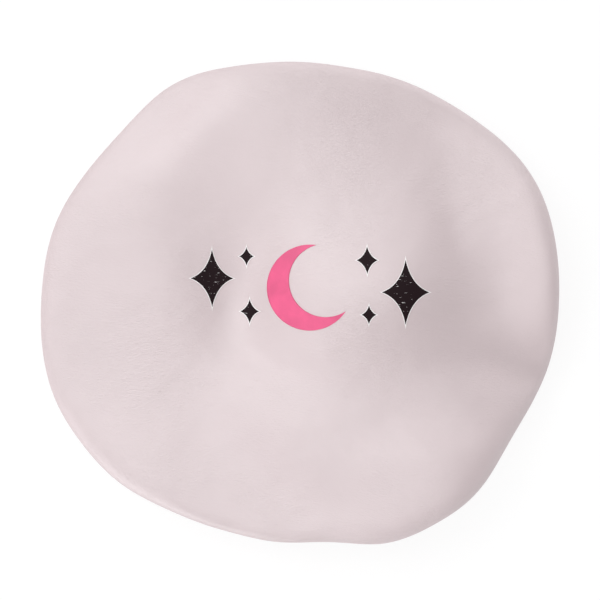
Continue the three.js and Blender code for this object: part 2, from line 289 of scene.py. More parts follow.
def merge(piece, distance):
    """Closes seams and poles, and turns the faces outwards."""
    active_only(piece)
    bpy.ops.object.mode_set(mode="EDIT")
    bpy.ops.mesh.select_all(action="SELECT")
    bpy.ops.mesh.remove_doubles(threshold=distance)
    bpy.ops.mesh.normals_make_consistent(inside=False)
    bpy.ops.object.mode_set(mode="OBJECT")


def face_up(piece):
    """Turns an open sheet so that its upper face is its outer face."""
    if sum(face.normal.z * face.area for face in piece.data.polygons) < 0:
        active_only(piece)
        bpy.ops.object.mode_set(mode="EDIT")
        bpy.ops.mesh.select_all(action="SELECT")
        bpy.ops.mesh.flip_normals()
        bpy.ops.object.mode_set(mode="OBJECT")


def set_map(piece, places):
    """Gives the mesh one map, named cut, from a place for each vertex."""
    while piece.data.uv_layers:
        piece.data.uv_layers.remove(piece.data.uv_layers[0])
    cut = piece.data.uv_layers.new(name="cut")
    corners = np.zeros(len(piece.data.loops), np.int32)
    piece.data.loops.foreach_get("vertex_index", corners)
    cut.data.foreach_set("uv", np.asarray(places, np.float32)[corners].ravel())


def smooth(piece):
    active_only(piece)
    bpy.ops.object.shade_smooth()


def finish_piece(piece, slot, material, *nodes):
    """Dresses a piece, hangs it on the body that it rides on and hides the construction parts that it
    stands for.
    """
    piece.data.materials.clear()
    piece.data.materials.append(material)
    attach(piece, BODY)
    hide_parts(*nodes)


def ease(low, high, value):
    share = np.clip((value - low) / (high - low), 0, 1)
    return share * share * (3 - 2 * share)


# Materials


class Shader:
    """A node material with a Principled surface."""

    def __init__(self, name):
        self.material = bpy.data.materials.new(name)
        self.material.use_nodes = True
        self.tree = self.material.node_tree
        self.surface = self.tree.nodes["Principled BSDF"]

    def node(self, kind, **values):
        made = self.tree.nodes.new(kind)
        for key, value in values.items():
            if key in made.inputs:
                made.inputs[key].default_value = value
            else:
                setattr(made, key, value)
        return made

    def link(self, source, target):
        self.tree.links.new(source, target)

    def set(self, **values):
        for key, value in values.items():
            self.surface.inputs[key.replace("_", " ")].default_value = value

    def cloth_place(self, width):
        """Position on the flat cloth in metres, from the piece's own map."""
        uv = self.node("ShaderNodeUVMap", uv_map="cut")
        place = self.node("ShaderNodeMapping")
        place.inputs["Scale"].default_value = (width, width, 1)
        self.link(uv.outputs["UV"], place.inputs["Vector"])
        return place.outputs["Vector"]

    def object_place(self):
        return self.node("ShaderNodeTexCoord").outputs["Object"]

    def turned(self, place, turn, scale=(1, 1, 1)):
        mapping = self.node("ShaderNodeMapping")
        mapping.inputs["Scale"].default_value = scale
        mapping.inputs["Rotation"].default_value = (0, 0, math.radians(turn))
        self.link(place, mapping.inputs["Vector"])
        return mapping.outputs["Vector"]

    def noise(self, place, scale, detail=2.0, roughness=0.5):
        made = self.node("ShaderNodeTexNoise", Scale=scale, Detail=detail, Roughness=roughness)
        self.link(place, made.inputs["Vector"])
        return made.outputs["Fac"]

    def wave(self, place, scale):
        made = self.node("ShaderNodeTexWave", Scale=scale)
        self.link(place, made.inputs["Vector"])
        return made.outputs["Fac"]

    def between(self, factor, low, high, dark, light):
        """Maps a factor's range to two colours."""
        ramp = self.node("ShaderNodeValToRGB")
        ramp.color_ramp.elements[0].position = low
        ramp.color_ramp.elements[1].position = high
        ramp.color_ramp.elements[0].color = (*dark, 1)
        ramp.color_ramp.elements[1].color = (*light, 1)
        self.link(factor, ramp.inputs["Fac"])
        return ramp.outputs["Color"]

    def ramp(self, factor, low, high, least, most):
        """Maps a factor's range to two numbers."""
        ends = {"From Min": low, "From Max": high, "To Min": least, "To Max": most}
        made = self.node("ShaderNodeMapRange", **ends)
        self.link(factor, made.inputs["Value"])
        return made.outputs["Result"]

    def times(self, first, second):
        made = self.node("ShaderNodeMath", operation="MULTIPLY")
        self.link(first, made.inputs[0])
        self.link(second, made.inputs[1])
        return made.outputs[0]

    def bump(self, height, depth, below=None):
        made = self.node("ShaderNodeBump", Strength=1.0, Distance=depth)
        self.link(height, made.inputs["Height"])
        if below:
            self.link(below, made.inputs["Normal"])
        return made.outputs["Normal"]

    def base(self, colour):
        self.link(colour, self.surface.inputs["Base Color"])

    def mottle(self, place, colour, scale, detail, dark, light, low=0.3, high=0.7):
        """Colours the surface unevenly, between a darker and a lighter shade of one colour."""
        spots = self.noise(place, scale, detail)
        self.base(self.between(spots, low, high, shade(colour, dark), shade(colour, light)))

    def normal(self, normal):
        self.link(normal, self.surface.inputs["Normal"])


def shade(colour, factor):
    return tuple(min(1.0, channel * factor) for channel in colour)


def satin_material(name, colour, cut_width, roughness):
    """Fine satin: a slightly uneven tone, a fine weave, slubs and a broad, pale gloss."""
    s = Shader(name)
    place = s.cloth_place(cut_width)
    s.mottle(place, colour, scale=26, detail=3, dark=0.985, light=1.015)
    s.set(Roughness=roughness, Specular_IOR_Level=1.0, IOR=2.1)
    weave = s.bump(s.wave(s.turned(place, 45), scale=900), depth=0.01 * MM)
    along = s.turned(place, 30, scale=(0.6, 1.5, 1))
    threads = s.noise(along, scale=700, detail=3, roughness=0.6)
    patches = s.ramp(s.noise(place, scale=18), low=0.38, high=0.62, least=0.6, most=1.9)
    s.normal(s.bump(s.times(threads, patches), depth=0.18 * MM, below=weave))
    return s.material


def film_grain(s, place):
    """Roughens a film like the cloth under it."""
    grain = s.noise(place, scale=700, detail=3, roughness=0.6)
    s.normal(s.bump(grain, depth=0.09 * MM))


def film_material(name, colour):
    """Matte transfer film that follows the cloth under it."""
    s = Shader(name)
    place = s.object_place()
    # Uneven tone of the film: partly its own unevenness and partly painted sheen where its small wrinkles
    # catch the light
    s.mottle(place, colour, scale=90, detail=4, dark=0.91, light=1.08, high=0.75)
    s.set(Roughness=0.5, Specular_IOR_Level=0.4)
    film_grain(s, place)
    return s.material


def brushed_film_material(name, colour, pale, keyline):
    """Black film laid on as a dry brush lays ink, with bare flecks along the stroke and a pale edge."""
    s = Shader(name)
    place = s.object_place()
    stroke = s.turned(place, 28, scale=(260, 1500, 260))
    streak = s.noise(stroke, scale=1, detail=4, roughness=0.6)
    ink = s.between(streak, low=0.66, high=0.69, dark=colour, light=pale)
    edge = s.node("ShaderNodeSeparateXYZ")
    s.link(s.cloth_place(1.0), edge.inputs["Vector"])
    inside = s.node("ShaderNodeMath", operation="GREATER_THAN")
    inside.inputs[1].default_value = keyline / MM
    s.link(edge.outputs["Y"], inside.inputs[0])
    mix = s.node("ShaderNodeMix", data_type="RGBA")
    mix.inputs["A"].default_value = (*pale, 1)
    s.link(inside.outputs[0], mix.inputs["Factor"])
    s.link(ink, mix.inputs["B"])
    s.base(mix.outputs["Result"])
    s.set(Roughness=0.6, Specular_IOR_Level=0.15)
    film_grain(s, place)
    return s.material


def thread_material(name, colour):
    """Twisted polyester thread."""
    s = Shader(name)
    place = s.object_place()
    s.mottle(place, colour, scale=1500, detail=2, dark=0.88, light=1.08)
    s.set(Roughness=0.5, Specular_IOR_Level=0.4, Sheen_Weight=0.2)
    s.normal(s.bump(s.wave(s.turned(place, 35), scale=1600), depth=0.06 * MM))
    return s.material


def elastic_material(name, colour):
    """Woven elastic with a fine weft over its ribs."""
    s = Shader(name)
    place = s.object_place()
    s.mottle(place, colour, scale=1200, detail=2, dark=0.9, light=1.04)
    s.set(Roughness=0.85, Specular_IOR_Level=0.25)
    s.normal(s.bump(s.noise(place, scale=1800), depth=0.1 * MM))
    return s.material


# Crown and lining


def flat_square(radius, divisions):
    """A round of cloth for the simulation, bent out of a square grid, with the places of its points."""
    piece, share = grid("gathering", divisions, divisions)
    x, y = (2 * share - 1).T
    flat = radius * np.stack([x * np.sqrt(1 - y**2 / 2), y * np.sqrt(1 - x**2 / 2), 0 * x], 1)
    set_points(piece, flat)
    edge = np.flatnonzero(np.maximum(abs(x), abs(y)) > 1 - 1e-6)
    return piece, flat, edge


def on_square(places):
    """Where points of the unit round lie on the square that it was bent out of."""
    x, y = places.T
    lean = x**2 - y**2
    far_x, far_y = 2 * math.sqrt(2) * x, 2 * math.sqrt(2) * y
    u = np.sqrt(np.maximum(0, 2 + lean + far_x)) - np.sqrt(np.maximum(0, 2 + lean - far_x))
    v = np.sqrt(np.maximum(0, 2 - lean + far_y)) - np.sqrt(np.maximum(0, 2 - lean - far_y))
    return np.stack([u, v], 1) / 2


def sample(square, places):
    """Points of the simulated square at places on the unit round, between its own points."""
    side = math.isqrt(len(square))
    cells = square.reshape(side, side, 3)
    spot = np.clip((on_square(places) + 1) / 2 * (side - 1), 0, side - 1 - 1e-6)
    column, row = np.floor(spot).astype(int).T
    right, up = (spot - np.floor(spot)).T[:, :, None]
    near = cells[row, column] * (1 - right) + cells[row, column + 1] * right
    far = cells[row + 1, column] * (1 - right) + cells[row + 1, column + 1] * right
    return near * (1 - up) + far * up


# The simulation runs at ten times the size, where the cloth solver is steadiest
SIM_SCALE = 10.0
SIM_SEED = 3
SIM_TABLE = 20  # width of the table
SIM_SKIN = 0.005  # clearance round the table and the band
SIM_CLEAR = 0.01  # clearance round the cloth
SIM_START = 0.45  # height at which the flat cloth starts
SIM_DOME = 0.09  # how much higher its middle starts
SIM_UNEVEN = 0.002  # spread of its starting heights
DRAWN_IN_BY = 0.6  # share of the steps after which the edge is drawn in
FABRIC = {
    "quality": 6,
    "mass": 0.15,
    "air_damping": 3,
    "tension_stiffness": 15,
    "compression_stiffness": 15,
    "shear_stiffness": 8,
    "bending_stiffness": 0.5,
    "tension_damping": 10,
    "compression_damping": 10,
    "shear_damping": 8,
    "bending_damping": 1,
    "vertex_group_mass": "band",
    "use_pressure": True,
    "uniform_pressure_force": 0.15,
}
FABRIC_WEIGHT = 0.8  # share of gravity

# Where the edge of the cloth goes into the band
BAND_CLEARANCE = 1.2 * MM
NECK_RADIUS = NEEDLE_RADIUS - 1.8 * MM
NECK_HEIGHT = BAND_TOP + BAND_CLEARANCE

# Stretches over which the cloth changes, as shares of its cut or of its reach
WAVES_TO_GATHERS = (0.60, 0.80)  # of the cut
INSIDE_TO_OUTLINE = (0.55, 0.85)  # of the reach
RIM_TO_UNDERSIDE = (0, 0.14)  # of the cut, past the rim
CRINKLES_END = (0.05, 0.2)  # of the cut, past the rim
RIM_RINGS = 5  # rings each way over which the rim is rounded
RIM_PASSES = 10
OUTLINE_SECTORS = 48
OUTLINE_WAVES = 18
COARSE_CRINKLE, FINE_CRINKLE = 60, 130  # to the metre


def obstacles():
    """The table and the band, for the cloth to lie on."""
    deselect()
    bpy.ops.mesh.primitive_plane_add(size=SIM_TABLE, location=(0, 0, 0))
    table = bpy.context.object
    reach = (NEEDLE_RADIUS + BAND_CLEARANCE) * SIM_SCALE
    top = BAND_TOP * SIM_SCALE
    bpy.ops.mesh.primitive_cylinder_add(vertices=96, radius=reach, depth=top, location=(0, 0, top / 2))
    band = bpy.context.object
    for piece in (table, band):
        piece.modifiers.new("Collision", "COLLISION")
        piece.collision.thickness_outer = SIM_SKIN
    return table, band


def draw_in(piece, edge, closed, last_step):
    """Keys the edge of the cloth, so that it is drawn in to the band by the last step."""
    band = piece.vertex_groups.new(name="band")
    band.add([int(i) for i in edge], 1.0, "REPLACE")
    piece.shape_key_add(name="flat")
    drawn = piece.shape_key_add(name="drawn in")
    drawn.data.foreach_set("co", closed.ravel())
    drawn.value = 0
    drawn.keyframe_insert("value", frame=1)
    drawn.value = 1
    drawn.keyframe_insert("value", frame=last_step)
    for curve in piece.data.shape_keys.animation_data.action.fcurves:
        for key in curve.keyframe_points:
            key.interpolation = "SINE"


def gather(piece, flat, edge, cloth):
    """Draws the edge of a flat round in to the band, as its elastic does, and lets the cloth settle."""
    start = flat * SIM_SCALE
    reach = np.hypot(start[:, 0], start[:, 1]) / (cloth.cut_radius * SIM_SCALE)
    rng = np.random.default_rng(SIM_SEED)
    start[:, 2] = SIM_START + SIM_DOME * (1 - reach**2) + rng.normal(0, SIM_UNEVEN, len(start))
    closed = start.copy()
    closed[edge, :2] *= NECK_RADIUS / cloth.cut_radius
    closed[edge, 2] = NECK_HEIGHT * SIM_SCALE
    set_points(piece, start)
    draw_in(piece, edge, closed, int(cloth.frames * DRAWN_IN_BY))
    modifier = piece.modifiers.new("Cloth", "CLOTH")
    for key, value in FABRIC.items():
        setattr(modifier.settings, key, value)
    modifier.settings.effector_weights.gravity = FABRIC_WEIGHT
    modifier.collision_settings.distance_min = SIM_CLEAR
    modifier.collision_settings.collision_quality = 2
    modifier.point_cache.frame_start = 1
    modifier.point_cache.frame_end = cloth.frames
    under = obstacles()
    for step in range(1, cloth.frames + 1):
        bpy.context.scene.frame_set(step)
    settled = piece.evaluated_get(bpy.context.evaluated_depsgraph_get())
    result = points_of(settled) / SIM_SCALE
    for obstacle in under:
        bpy.data.objects.remove(obstacle)
    piece.modifiers.remove(modifier)
    piece.shape_key_clear()
    piece.vertex_groups.clear()
    bpy.context.scene.frame_set(1)
    return result


def even_out(rings, waves):
    """Smooths each ring of points round the cap, keeping about as many waves as it is given."""
    spectrum = np.fft.rfft(rings, axis=1)
    order = np.arange(spectrum.shape[1])
    kept = np.exp(-((order[None, :] / waves[:, None]) ** 2) / 2)
    return np.fft.irfft(spectrum * kept[:, :, None], n=rings.shape[1], axis=1)


def model_outline():
    """Reach of the construction model's crown by bearing, as a short series of waves."""
    points = points_of(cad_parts["outer_crown"])
    bearing = np.arctan2(points[:, 1], points[:, 0])
    reach = np.hypot(points[:, 0], points[:, 1])
    sector = np.floor(bearing / (2 * math.pi) * OUTLINE_SECTORS + 0.5).astype(int) % OUTLINE_SECTORS
    members = [np.flatnonzero(sector == i) for i in range(OUTLINE_SECTORS)]
    rim = [inside[np.argmax(reach[inside])] for inside in members]
    orders = np.arange(1, OUTLINE_WAVES + 1)

    def waves(angle):
        turns = angle[..., None] * orders
        return np.concatenate([np.ones_like(angle)[..., None], np.cos(turns), np.sin(turns)], -1)

    series = np.linalg.lstsq(waves(bearing[rim]), reach[rim], rcond=None)[0]
    return lambda angle: waves(angle) @ series


def soft_folds(x, y):
    """Height of the crown's soft folds."""
    rise = np.zeros_like(x)
    for middle_x, middle_y, along, across, bearing, height in SOFT_FOLDS + SMALL_FOLDS:
        turn = math.radians(bearing)
        dx, dy = x / MM - middle_x, y / MM - middle_y
        run = (dx * math.cos(turn) + dy * math.sin(turn)) / along
        side = (dy * math.cos(turn) - dx * math.sin(turn)) / across
        rise += height * MM * np.exp(-(run**2 + side**2) / 2)
    return rise


def crinkles(flat):
    """Faint unevenness all over the flat cloth, from about -1 to 1."""
    places = [Vector(place) for place in flat.reshape(-1, 3)]
    coarse = np.array([noise.noise(place * COARSE_CRINKLE) for place in places])
    fine = np.array([noise.noise(place * FINE_CRINKLE) for place in places])
    return coarse + fine / 2


def on_rim(field, rim):
    """Values of a field of rings on the rim, which runs between rings."""
    spokes = np.arange(field.shape[1])
    ring = np.floor(rim).astype(int)
    part = rim - ring
    return field[ring, spokes] * (1 - part) + field[ring + 1, spokes] * part


def to_outline(rings, outline, drawn_in=0):
    """Stretches the outer part of the rings out to an outline, drawn in by a little round the rim."""
    reach = np.hypot(rings[:, :, 0], rings[:, :, 1])
    bearing = np.arctan2(rings[:, :, 1], rings[:, :, 0])
    widest = reach.max(0)
    outer = ease(*INSIDE_TO_OUTLINE, reach / widest)
    stretch = 1 + ((outline(bearing) - drawn_in) / widest - 1) * outer
    return rings * np.stack([stretch, stretch, np.ones_like(stretch)], -1)


def lay_out(rings, flat, cut_share, cloth):
    """Eases the settled rings of cloth to the cap's outline, height and soft folds."""
    under = ease(*WAVES_TO_GATHERS, cut_share)
    rings = even_out(rings, cloth.top_waves * (cloth.gathers / cloth.top_waves) ** under)
    reach = np.hypot(rings[:, :, 0], rings[:, :, 1])
    rim = even_out(reach.argmax(0)[None, :, None], np.array([cloth.top_waves])).ravel()
    ring = np.arange(len(rings))
    share = reach / on_rim(reach, rim)
    outline = model_outline()
    laid = to_outline(rings, outline)
    folds = cloth.fold_depth * soft_folds(laid[:, :, 0], laid[:, :, 1])
    bearing = np.arctan2(laid[:, :, 1], laid[:, :, 0])
    flatness = cloth.top_flatness * (1 + cloth.tight_side * np.cos(bearing))
    fall = np.clip(1 - share**flatness, 0, 1) ** (1 / cloth.shoulder)
    top = cloth.rim_height + cloth.top_rise * fall + folds
    past_rim = np.maximum(0, cut_share[:, None] - np.interp(rim, ring, cut_share))
    shift = cloth.rim_height + on_rim(folds - rings[:, :, 2], rim)
    lifted = rings[:, :, 2] + shift * (1 - ease(*RIM_TO_UNDERSIDE, past_rim))
    below = np.maximum(lifted, cloth.satin)
    laid[:, :, 2] = top + (below - top) * ease(rim - 1, rim + 1, ring[:, None])
    near_rim = np.exp(-(((ring[:, None] - rim) / RIM_RINGS) ** 2))[1:-1, :, None]
    for _ in range(RIM_PASSES):
        laid[1:-1] += near_rim * ((laid[:-2] + laid[2:]) / 2 - laid[1:-1]) / 2
    laid = to_outline(laid, outline, cloth.rim_lean * on_rim(folds, rim))
    uneven = crinkles(flat).reshape(share.shape)
    laid[:, :, 2] += cloth.crinkle * uneven * (1 - ease(*CRINKLES_END, past_rim))
    return laid


def edge_into_casing(piece, depth):
    """Runs the gathered edge straight down into the casing."""
    active_only(piece)
    bpy.ops.object.mode_set(mode="EDIT")
    bpy.ops.mesh.select_mode(type="EDGE")
    bpy.ops.mesh.select_all(action="DESELECT")
    bpy.ops.mesh.select_non_manifold()
    bpy.ops.mesh.extrude_region_move(TRANSFORM_OT_translate={"value": (0, 0, -depth)})
    bpy.ops.mesh.select_all(action="SELECT")
    bpy.ops.mesh.normals_make_consistent(inside=False)
    bpy.ops.object.mode_set(mode="OBJECT")


def round_of_rings(name, cloth):
    """The gathered crown, rebuilt from the simulation in rings round its middle."""
    piece, share = grid(name, cloth.spokes, cloth.rings)
    turn = 2 * math.pi * share[:, 0]
    flat = np.stack([share[:, 1] * np.cos(turn), share[:, 1] * np.sin(turn), 0 * turn], 1)
    set_map(piece, flat[:, :2] / 2 + 0.5)
    sheet, sheet_flat, edge = flat_square(cloth.cut_radius, cloth.divisions)
    settled = gather(sheet, sheet_flat, edge, cloth)
    bpy.data.objects.remove(sheet)
    shape = (cloth.rings + 1, cloth.spokes + 1, 3)
    rings = sample(settled, flat[:, :2]).reshape(shape)[:, :-1]
    places = (flat * cloth.cut_radius).reshape(shape)[:, :-1]
    cut_share = share.reshape(*shape[:2], 2)[:, 0, 1]
    laid = lay_out(rings, places, cut_share, cloth)
    laid[0] = laid[0].mean(0)
    set_points(piece, np.concatenate([laid, laid[:, :1]], 1).reshape(-1, 3))
    merge(piece, WELD)
    return piece


def finish_round(piece, cloth, slot, material, node):
    """Thickness and finish of one of the two rounds."""
    apply(piece, "SOLIDIFY", thickness=cloth.satin, offset=-1)
    smooth(piece)
    finish_piece(piece, slot, material, node)


class SLEEPCAP_OT_crown(bpy.types.Operator):
    """Outer satin round, drawn in at the band"""

    bl_idname = "sleepcap.crown"
    bl_label = "Crown"

    def execute(self, context):
        cloth, finish = context.scene.cap_cloth, context.scene.cap_finish
        crown = round_of_rings("crown", cloth)
        edge_into_casing(crown, cloth.seam)
        lining = crown.copy()
        lining.data = crown.data.copy()
        lining.name = lining.data.name = "lining"
        context.scene.collection.objects.link(lining)
        satin = satin_material("blush_satin", finish.satin, 2 * cloth.cut_radius, finish.satin_roughness)
        finish_round(crown, cloth, "satin", satin, "outer_crown")
        return {"FINISHED"}


class SLEEPCAP_OT_lining(bpy.types.Operator):
    """Second satin round inside the crown"""

    bl_idname = "sleepcap.lining"
    bl_label = "Lining"

    def execute(self, context):
        cloth, finish = context.scene.cap_cloth, context.scene.cap_finish
        lining = bpy.data.objects["lining"]
        apply(lining, "DISPLACE", strength=-(cloth.satin + cloth.lining_gap), mid_level=0.0)
        satin = satin_material("lining_satin", finish.lining, 2 * cloth.cut_radius, finish.lining_roughness)
        finish_round(lining, cloth, "lining", satin, "crown_lining")
        return {"FINISHED"}


# Band


CASING_GAP = 0.35 * MM  # casing to what it lies against
ELASTIC_INSIDE = 1.2 * MM  # mouth to the elastic
RIB_HEIGHT = 0.06 * MM  # ribs of the elastic
RIBS = 6

# Slow waves that make the ruffles uneven: height, number round the band, start
RUFFLE_DRIFT = ((0.45, 3, 1), (0.4, 5, 4), (0.35, 8, 2), (0.3, 13, 5))
RUFFLE_SWELL = 0.22  # how much the ruffles differ in depth
RUFFLE_LEAN = 0.006  # how far a ruffle wanders across the strip, in radians
SEAM_HOLD = 0.035  # reach of the flat stretch at the end seam, in radians


def ruffle(bearing, ruffles):
    """Uneven ruffles round the band, from 0 in a hollow to 1 on a crest, flat at the strip's end seam."""
    drift = sum(height * np.sin(waves * bearing + start) for height, waves, start in RUFFLE_DRIFT)
    swell = 1 - RUFFLE_SWELL + RUFFLE_SWELL * np.sin(11 * bearing + 2 * drift)
    from_seam = np.angle(np.exp(1j * (bearing - SEAM_BEARING)))
    held = 1 - np.exp(-((from_seam / SEAM_HOLD) ** 2))
    return held * swell * (0.5 + 0.5 * np.sin(ruffles * bearing + 2.4 * drift))


def casing_section(band):
    """Section of the casing, outer edge down and round to inner edge: share, radius, height, swing."""
    outer = NEEDLE_RADIUS - 2 * band.thread - CASING_GAP
    inner = MOUTH_RADIUS + CASING_GAP
    pinch = PINCH_RADIUS + CASING_GAP
    low = band.casing / 2
    return np.array(
        [
            (0.00, outer, BAND_TOP - low, 0.5),
            (0.05, outer, UPPER_STITCH, 0.1),
            (0.11, outer, 0.80 * BAND_TOP, 0.55),
            (0.18, outer, 0.66 * BAND_TOP, 0.9),
            (0.25, outer, 0.5 * BAND_TOP, 1.0),
            (0.32, outer, 0.33 * BAND_TOP, 0.9),
            (0.39, outer, 0.18 * BAND_TOP, 0.55),
            (0.43, outer, LOWER_STITCH, 0.1),
            (0.465, outer - 0.5 * MM, low + 0.3 * MM, 0.3),
            (0.50, (outer + inner) / 2, low, 0.0),
            (0.535, inner + 0.5 * MM, low + 0.3 * MM, -0.3),
            (0.57, inner, LOWER_STITCH, -0.1),
            (0.61, inner, 0.18 * BAND_TOP, -0.55),
            (0.68, inner, 0.33 * BAND_TOP, -0.9),
            (0.75, inner, 0.5 * BAND_TOP, -1.0),
            (0.82, inner, 0.66 * BAND_TOP, -0.9),
            (0.89, inner, 0.80 * BAND_TOP, -0.55),
            (0.95, pinch, UPPER_STITCH, -0.1),
            (1.00, pinch, BAND_TOP - low, -0.3),
        ]
    )


class SLEEPCAP_OT_casing(bpy.types.Operator):
    """Folded satin strip that ruffles round the elastic"""

    bl_idname = "sleepcap.casing"
    bl_label = "Band casing"

    def execute(self, context):
        band, finish = context.scene.cap_band, context.scene.cap_finish
        columns, rows = 960, 36
        casing, share = grid("casing", columns, rows)
        bearing = 2 * math.pi * share[:, 0]
        section = casing_section(band)
        run = share[:, 1]
        radius, height, swing = (np.interp(run, section[:, 0], section[:, k]) for k in (1, 2, 3))
        lean = RUFFLE_LEAN * np.sin(7 * run + 5 * bearing)
        radius += swing * ruffle(bearing + lean, band.ruffles) * band.ruffle_depth
        points = np.stack([radius * np.cos(bearing), radius * np.sin(bearing), height], 1)
        set_points(casing, points)
        lines = points.reshape(rows + 1, columns + 1, 3)
        strip_length = np.linalg.norm(np.diff(lines, axis=1), axis=2).sum(1).max()
        strip_width = np.linalg.norm(np.diff(lines, axis=0), axis=2).sum(0).mean()
        set_map(casing, share * (1, strip_width / strip_length))
        merge(casing, WELD)
        apply(casing, "SOLIDIFY", thickness=band.casing, offset=0)
        smooth(casing)
        satin = satin_material("casing_satin", finish.satin, strip_length, finish.satin_roughness)
        finish_piece(casing, "satin", satin, "band_casing")
        return {"FINISHED"}


class SLEEPCAP_OT_elastic(bpy.types.Operator):
    """Woven elastic in the casing, its ends lapped"""

    bl_idname = "sleepcap.elastic"
    bl_label = "Elastic band"

    def execute(self, context):
        band, finish = context.scene.cap_band, context.scene.cap_finish
        elastic, share = grid("elastic", columns=600, rows=30)
        inner = MOUTH_RADIUS + ELASTIC_INSIDE
        lap = band.lap / inner
        turn = share[:, 0] * (2 * math.pi + lap)
        bearing = band.lap_bearing - lap / 2 + turn
        climb = np.clip((turn - lap) / (2 * math.pi - lap), 0, 1) * (band.elastic + CASING_GAP)
        rib = RIB_HEIGHT * np.cos(share[:, 1] * RIBS * 2 * math.pi)
        radius = inner + climb + band.elastic / 2 + rib
        height = ELASTIC_LOW.z + share[:, 1] * (ELASTIC_HIGH.z - ELASTIC_LOW.z)
        set_points(elastic, np.stack([radius * np.cos(bearing), radius * np.sin(bearing), height], 1))
        apply(elastic, "SOLIDIFY", thickness=band.elastic - 2 * RIB_HEIGHT, offset=0)
        smooth(elastic)
        material = elastic_material("woven_elastic", finish.elastic)
        finish_piece(elastic, "elastic", material, "elastic_band")
        return {"FINISHED"}


# Stitching


STITCH_ENDS = 0.6  # lower makes the ends of a stitch blunter
NEEDLE_DEPTH, BOBBIN_DEPTH = 1.6, 0.4  # how deep a stitch lies, in thread radii


def one_stitch(name, length, radius):
    """A short round-ended dash of thread along X."""
    deselect()
    bpy.ops.mesh.primitive_uv_sphere_add(segments=8, ring_count=6, radius=1, location=(0, 0, 0))
    stitch = bpy.context.object
    stitch.name = stitch.data.name = name
    points = points_of(stitch)[:, [2, 0, 1]]
    points[:, 0] = np.sign(points[:, 0]) * abs(points[:, 0]) ** STITCH_ENDS
    set_points(stitch, points * (length / 2, radius, radius))
    merge(stitch, STITCH_WELD)
    return stitch


def repeat(piece, places):
    """Makes a piece into copies of itself, each moved by one of the functions in places."""
    shape = points_of(piece)
    faces = [list(face.vertices) for face in piece.data.polygons]
    points = [place(shape) for place in places]
    polygons = [[corner + i * len(shape) for corner in face] for i in range(len(places)) for face in faces]
    mesh = bpy.data.meshes.new(piece.name)
    mesh.from_pydata(np.vstack(points).tolist(), [], polygons)
    piece.data = mesh
    merge(piece, STITCH_WELD)
    smooth(piece)
    return piece


def round_band(bearing, radius, height, upright):
    """Lays a stitch on the band's wall, along it or upright."""

    def place(shape):
        along, across = (shape[:, 1], shape[:, 0]) if upright else (shape[:, 0], shape[:, 1])
        angle = bearing + along / radius
        out = radius + shape[:, 2]
        return np.stack([out * np.cos(angle), out * np.sin(angle), height + across], 1)

    return place


class SLEEPCAP_OT_stitching(bpy.types.Operator):
    """Rows of lockstitch on both faces of the band, and the strip's end seam"""

    bl_idname = "sleepcap.stitching"
    bl_label = "Stitching"

    def execute(self, context):
        band, finish = context.scene.cap_band, context.scene.cap_finish
        thread = thread_material("blush_thread", finish.thread)
        outside = NEEDLE_RADIUS - NEEDLE_DEPTH * band.thread
        bobbin = BOBBIN_DEPTH * band.thread
        rows = (
            ("upper_needle_stitches", "upper_needle_thread", outside, UPPER_STITCH),
            ("lower_needle_stitches", "lower_needle_thread", outside, LOWER_STITCH),
            ("upper_bobbin_stitches", "upper_bobbin_thread", PINCH_RADIUS - bobbin, UPPER_STITCH),
            ("lower_bobbin_stitches", "lower_bobbin_thread", MOUTH_RADIUS - bobbin, LOWER_STITCH),
        )
        for name, node, radius, height in rows:
            steps = round(2 * math.pi * radius / band.stitch_pitch)
            bearings = [2 * math.pi * i / steps for i in range(steps)]
            places = [round_band(bearing, radius, height, False) for bearing in bearings]
            row = repeat(one_stitch(name, band.stitch, band.thread), places)
            finish_piece(row, "thread", thread, node)
        steps = int((SEAM_HIGH.z - SEAM_LOW.z) / band.stitch_pitch)
        middle = (SEAM_LOW.z + SEAM_HIGH.z) / 2
        heights = [middle + (i - (steps - 1) / 2) * band.stitch_pitch for i in range(steps)]
        places = [round_band(SEAM_BEARING, outside, height, True) for height in heights]
        seam = repeat(one_stitch("casing_end_seam", band.stitch, band.thread), places)
        finish_piece(seam, "thread", thread, "casing_end_seam_thread")
        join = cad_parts["elastic_join_thread"]
        join.data.materials.clear()
        join.data.materials.append(thread)
        return {"FINISHED"}


# Print


FILM_LIFT = 0.06 * MM  # crown to the film
FILM_WELD = 0.02 * MM
FILM_OUTLINE = 481  # points of an outline that distances are taken to
STAR_CROWDING = 1.6  # higher crowds the rows of a star to its outline


def lay_film(piece, plan, edge_distance, crown, film):
    """Lays a flat film on the crown and gives it its thickness."""
    heights = []
    for x, y in plan:
        hit = crown.ray_cast(Vector((x, y, 1.0)), Vector((0, 0, -1)))[0]
        heights.append(hit.z)
    set_points(piece, np.column_stack([plan, np.array(heights) + FILM_LIFT]))
    set_map(piece, np.column_stack([edge_distance * 0, edge_distance / MM]))
    merge(piece, FILM_WELD)
    face_up(piece)
    apply(piece, "SOLIDIFY", thickness=film, offset=1)
    smooth(piece)


def from_edge(plan, outline):
    """Distance of each point of a flat film from its outline."""
    gaps = plan[:, None, :] - outline[None, :, :]
    return np.sqrt((gaps**2).sum(2).min(1))


def crescent_lines(shape, steps):
    """Outer and inner line of the crescent, tip to tip."""
    crossing = (shape.moon**2 - shape.bite**2 + shape.bite_shift**2) / (2 * shape.bite_shift)
    height = math.sqrt(shape.moon**2 - crossing**2)
    tip = math.atan2(height, crossing)
    bite_tip = math.atan2(height, crossing - shape.bite_shift)
    outer = shape.tilt + tip + steps * (2 * math.pi - 2 * tip)
    inner = shape.tilt + bite_tip + steps * (2 * math.pi - 2 * bite_tip)
    shift = shape.bite_shift * np.array([math.cos(shape.tilt), math.sin(shape.tilt)])
    outer_line = shape.moon * np.column_stack([np.cos(outer), np.sin(outer)])
    inner_line = shift + shape.bite * np.column_stack([np.cos(inner), np.sin(inner)])
    return outer_line, inner_line


